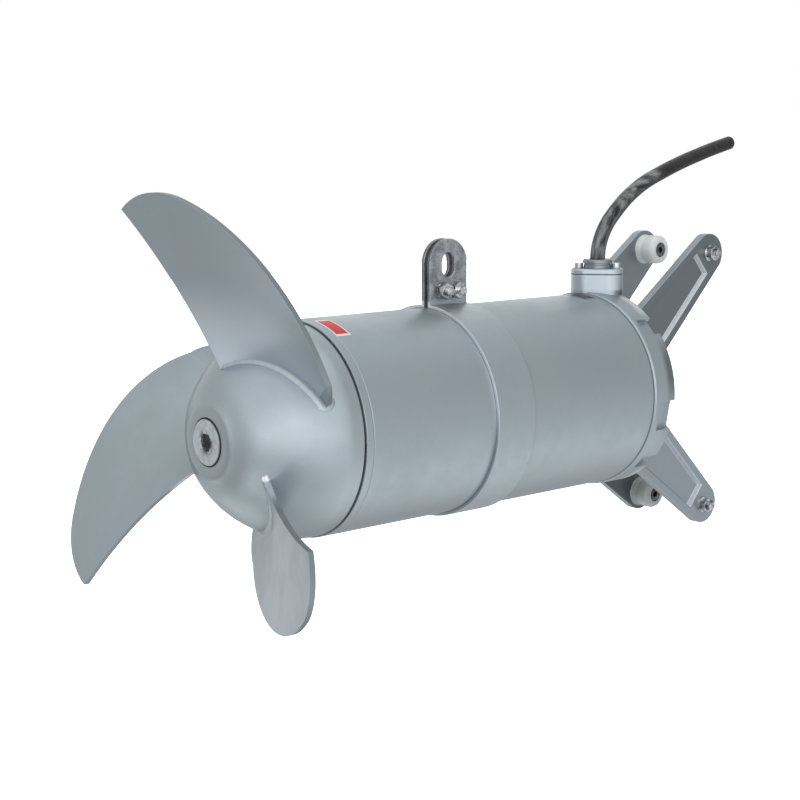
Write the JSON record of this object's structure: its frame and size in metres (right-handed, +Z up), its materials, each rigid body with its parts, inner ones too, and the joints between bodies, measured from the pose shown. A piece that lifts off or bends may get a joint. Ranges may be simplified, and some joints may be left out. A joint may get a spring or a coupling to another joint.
{
  "type": "submersible mixer",
  "caption": "Compact submersible mixer with swept propeller blades, a round motor casing, a lifting strap, a cable and a rear bracket whose rollers ride a square guide rail.",
  "frame": {"origin": "where the propeller axis crosses the middle of the guide rail", "axes": "the propeller points to -X, +Z is up along the guide rail, and -Y is the near side"},
  "size_m": [0.7856, 0.3636, 0.3904],
  "materials": {
    "casing_paint": "satin silver-grey paint",
    "propeller_paint": "satin silver-grey paint",
    "stainless_steel": "plain",
    "galvanised_steel": "mottled zinc",
    "zinc_steel": "bright zinc",
    "bearing_steel": "ground",
    "cast_iron": "machined cast iron",
    "laminations": "stacked sheet steel",
    "cage_aluminium": "cast",
    "winding_copper": "varnished copper wire",
    "seal_carbide": "lapped dark carbide",
    "black_rubber": "matt",
    "terminal_plastic": "moulded",
    "roller_nylon": "smooth nylon"
  },
  "bodies": {
    "housing": {"motor_casing": "casing_paint", "front_cover": "casing_paint", "front_cover_screws": "stainless_steel", "front_cover_ring_seal": "black_rubber", "bearing_housing": "cast_iron", "outer_seal_seat": "seal_carbide", "inner_seal_seat": "seal_carbide", "stator_core": "laminations", "stator_windings": "winding_copper", "rear_bearing_shield": "cast_iron", "shield_screws": "stainless_steel", "front_bearing_outer_ring": "bearing_steel", "front_bearing_balls": "bearing_steel", "rear_bearing_outer_ring": "bearing_steel", "rear_bearing_balls": "bearing_steel", "rear_bracket": "casing_paint", "bracket_ring_seal": "black_rubber", "rear_bracket_screws": "stainless_steel", "terminal_block": "terminal_plastic", "gland_gasket": "black_rubber", "gland_cover": "casing_paint", "gland_screws": "stainless_steel", "cable_grommet": "black_rubber", "gland_nut": "casing_paint", "power_cable": "black_rubber", "lifting_strap": "galvanised_steel", "strap_bolts": "zinc_steel", "strap_nuts": "zinc_steel", "strap_washers": "zinc_steel", "roller_bolts": "zinc_steel", "arm_screws": "zinc_steel", "roller_washers": "zinc_steel", "roller_nuts": "zinc_steel"},
    "rotor": {"propeller_hub": "propeller_paint", "nose_plug": "stainless_steel", "propeller_bolt": "stainless_steel", "propeller_washer": "stainless_steel", "propeller_key": "stainless_steel", "propeller_blade_1": "propeller_paint", "propeller_blade_2": "propeller_paint", "propeller_blade_3": "propeller_paint", "motor_shaft": "stainless_steel", "rotor_core": "laminations", "rotor_cage_rings": "cage_aluminium", "front_bearing_inner_ring": "bearing_steel", "rear_bearing_inner_ring": "bearing_steel", "outer_seal_head": "stainless_steel", "inner_seal_head": "stainless_steel", "seal_spring": "stainless_steel"},
    "guide_roller_far_upper": {"guide_roller_far_upper": "roller_nylon"},
    "guide_roller_far_lower": {"guide_roller_far_lower": "roller_nylon"}
  },
  "joints": [
    {"name": "propeller_spin", "type": "hinge", "parent": "housing", "child": "rotor", "pos_m": [-0.4, 0, 0], "axis": [-1, 0, 0], "continuous": true},
    {"name": "guide_roller_far_upper_spin", "type": "hinge", "parent": "housing", "child": "guide_roller_far_upper", "pos_m": [0.0551, 0.02315, 0.1275], "axis": [0, 1, 0], "continuous": true},
    {"name": "guide_roller_far_lower_spin", "type": "hinge", "parent": "housing", "child": "guide_roller_far_lower", "pos_m": [0.0551, 0.02315, -0.1275], "axis": [0, 1, 0], "continuous": true}
  ]
}
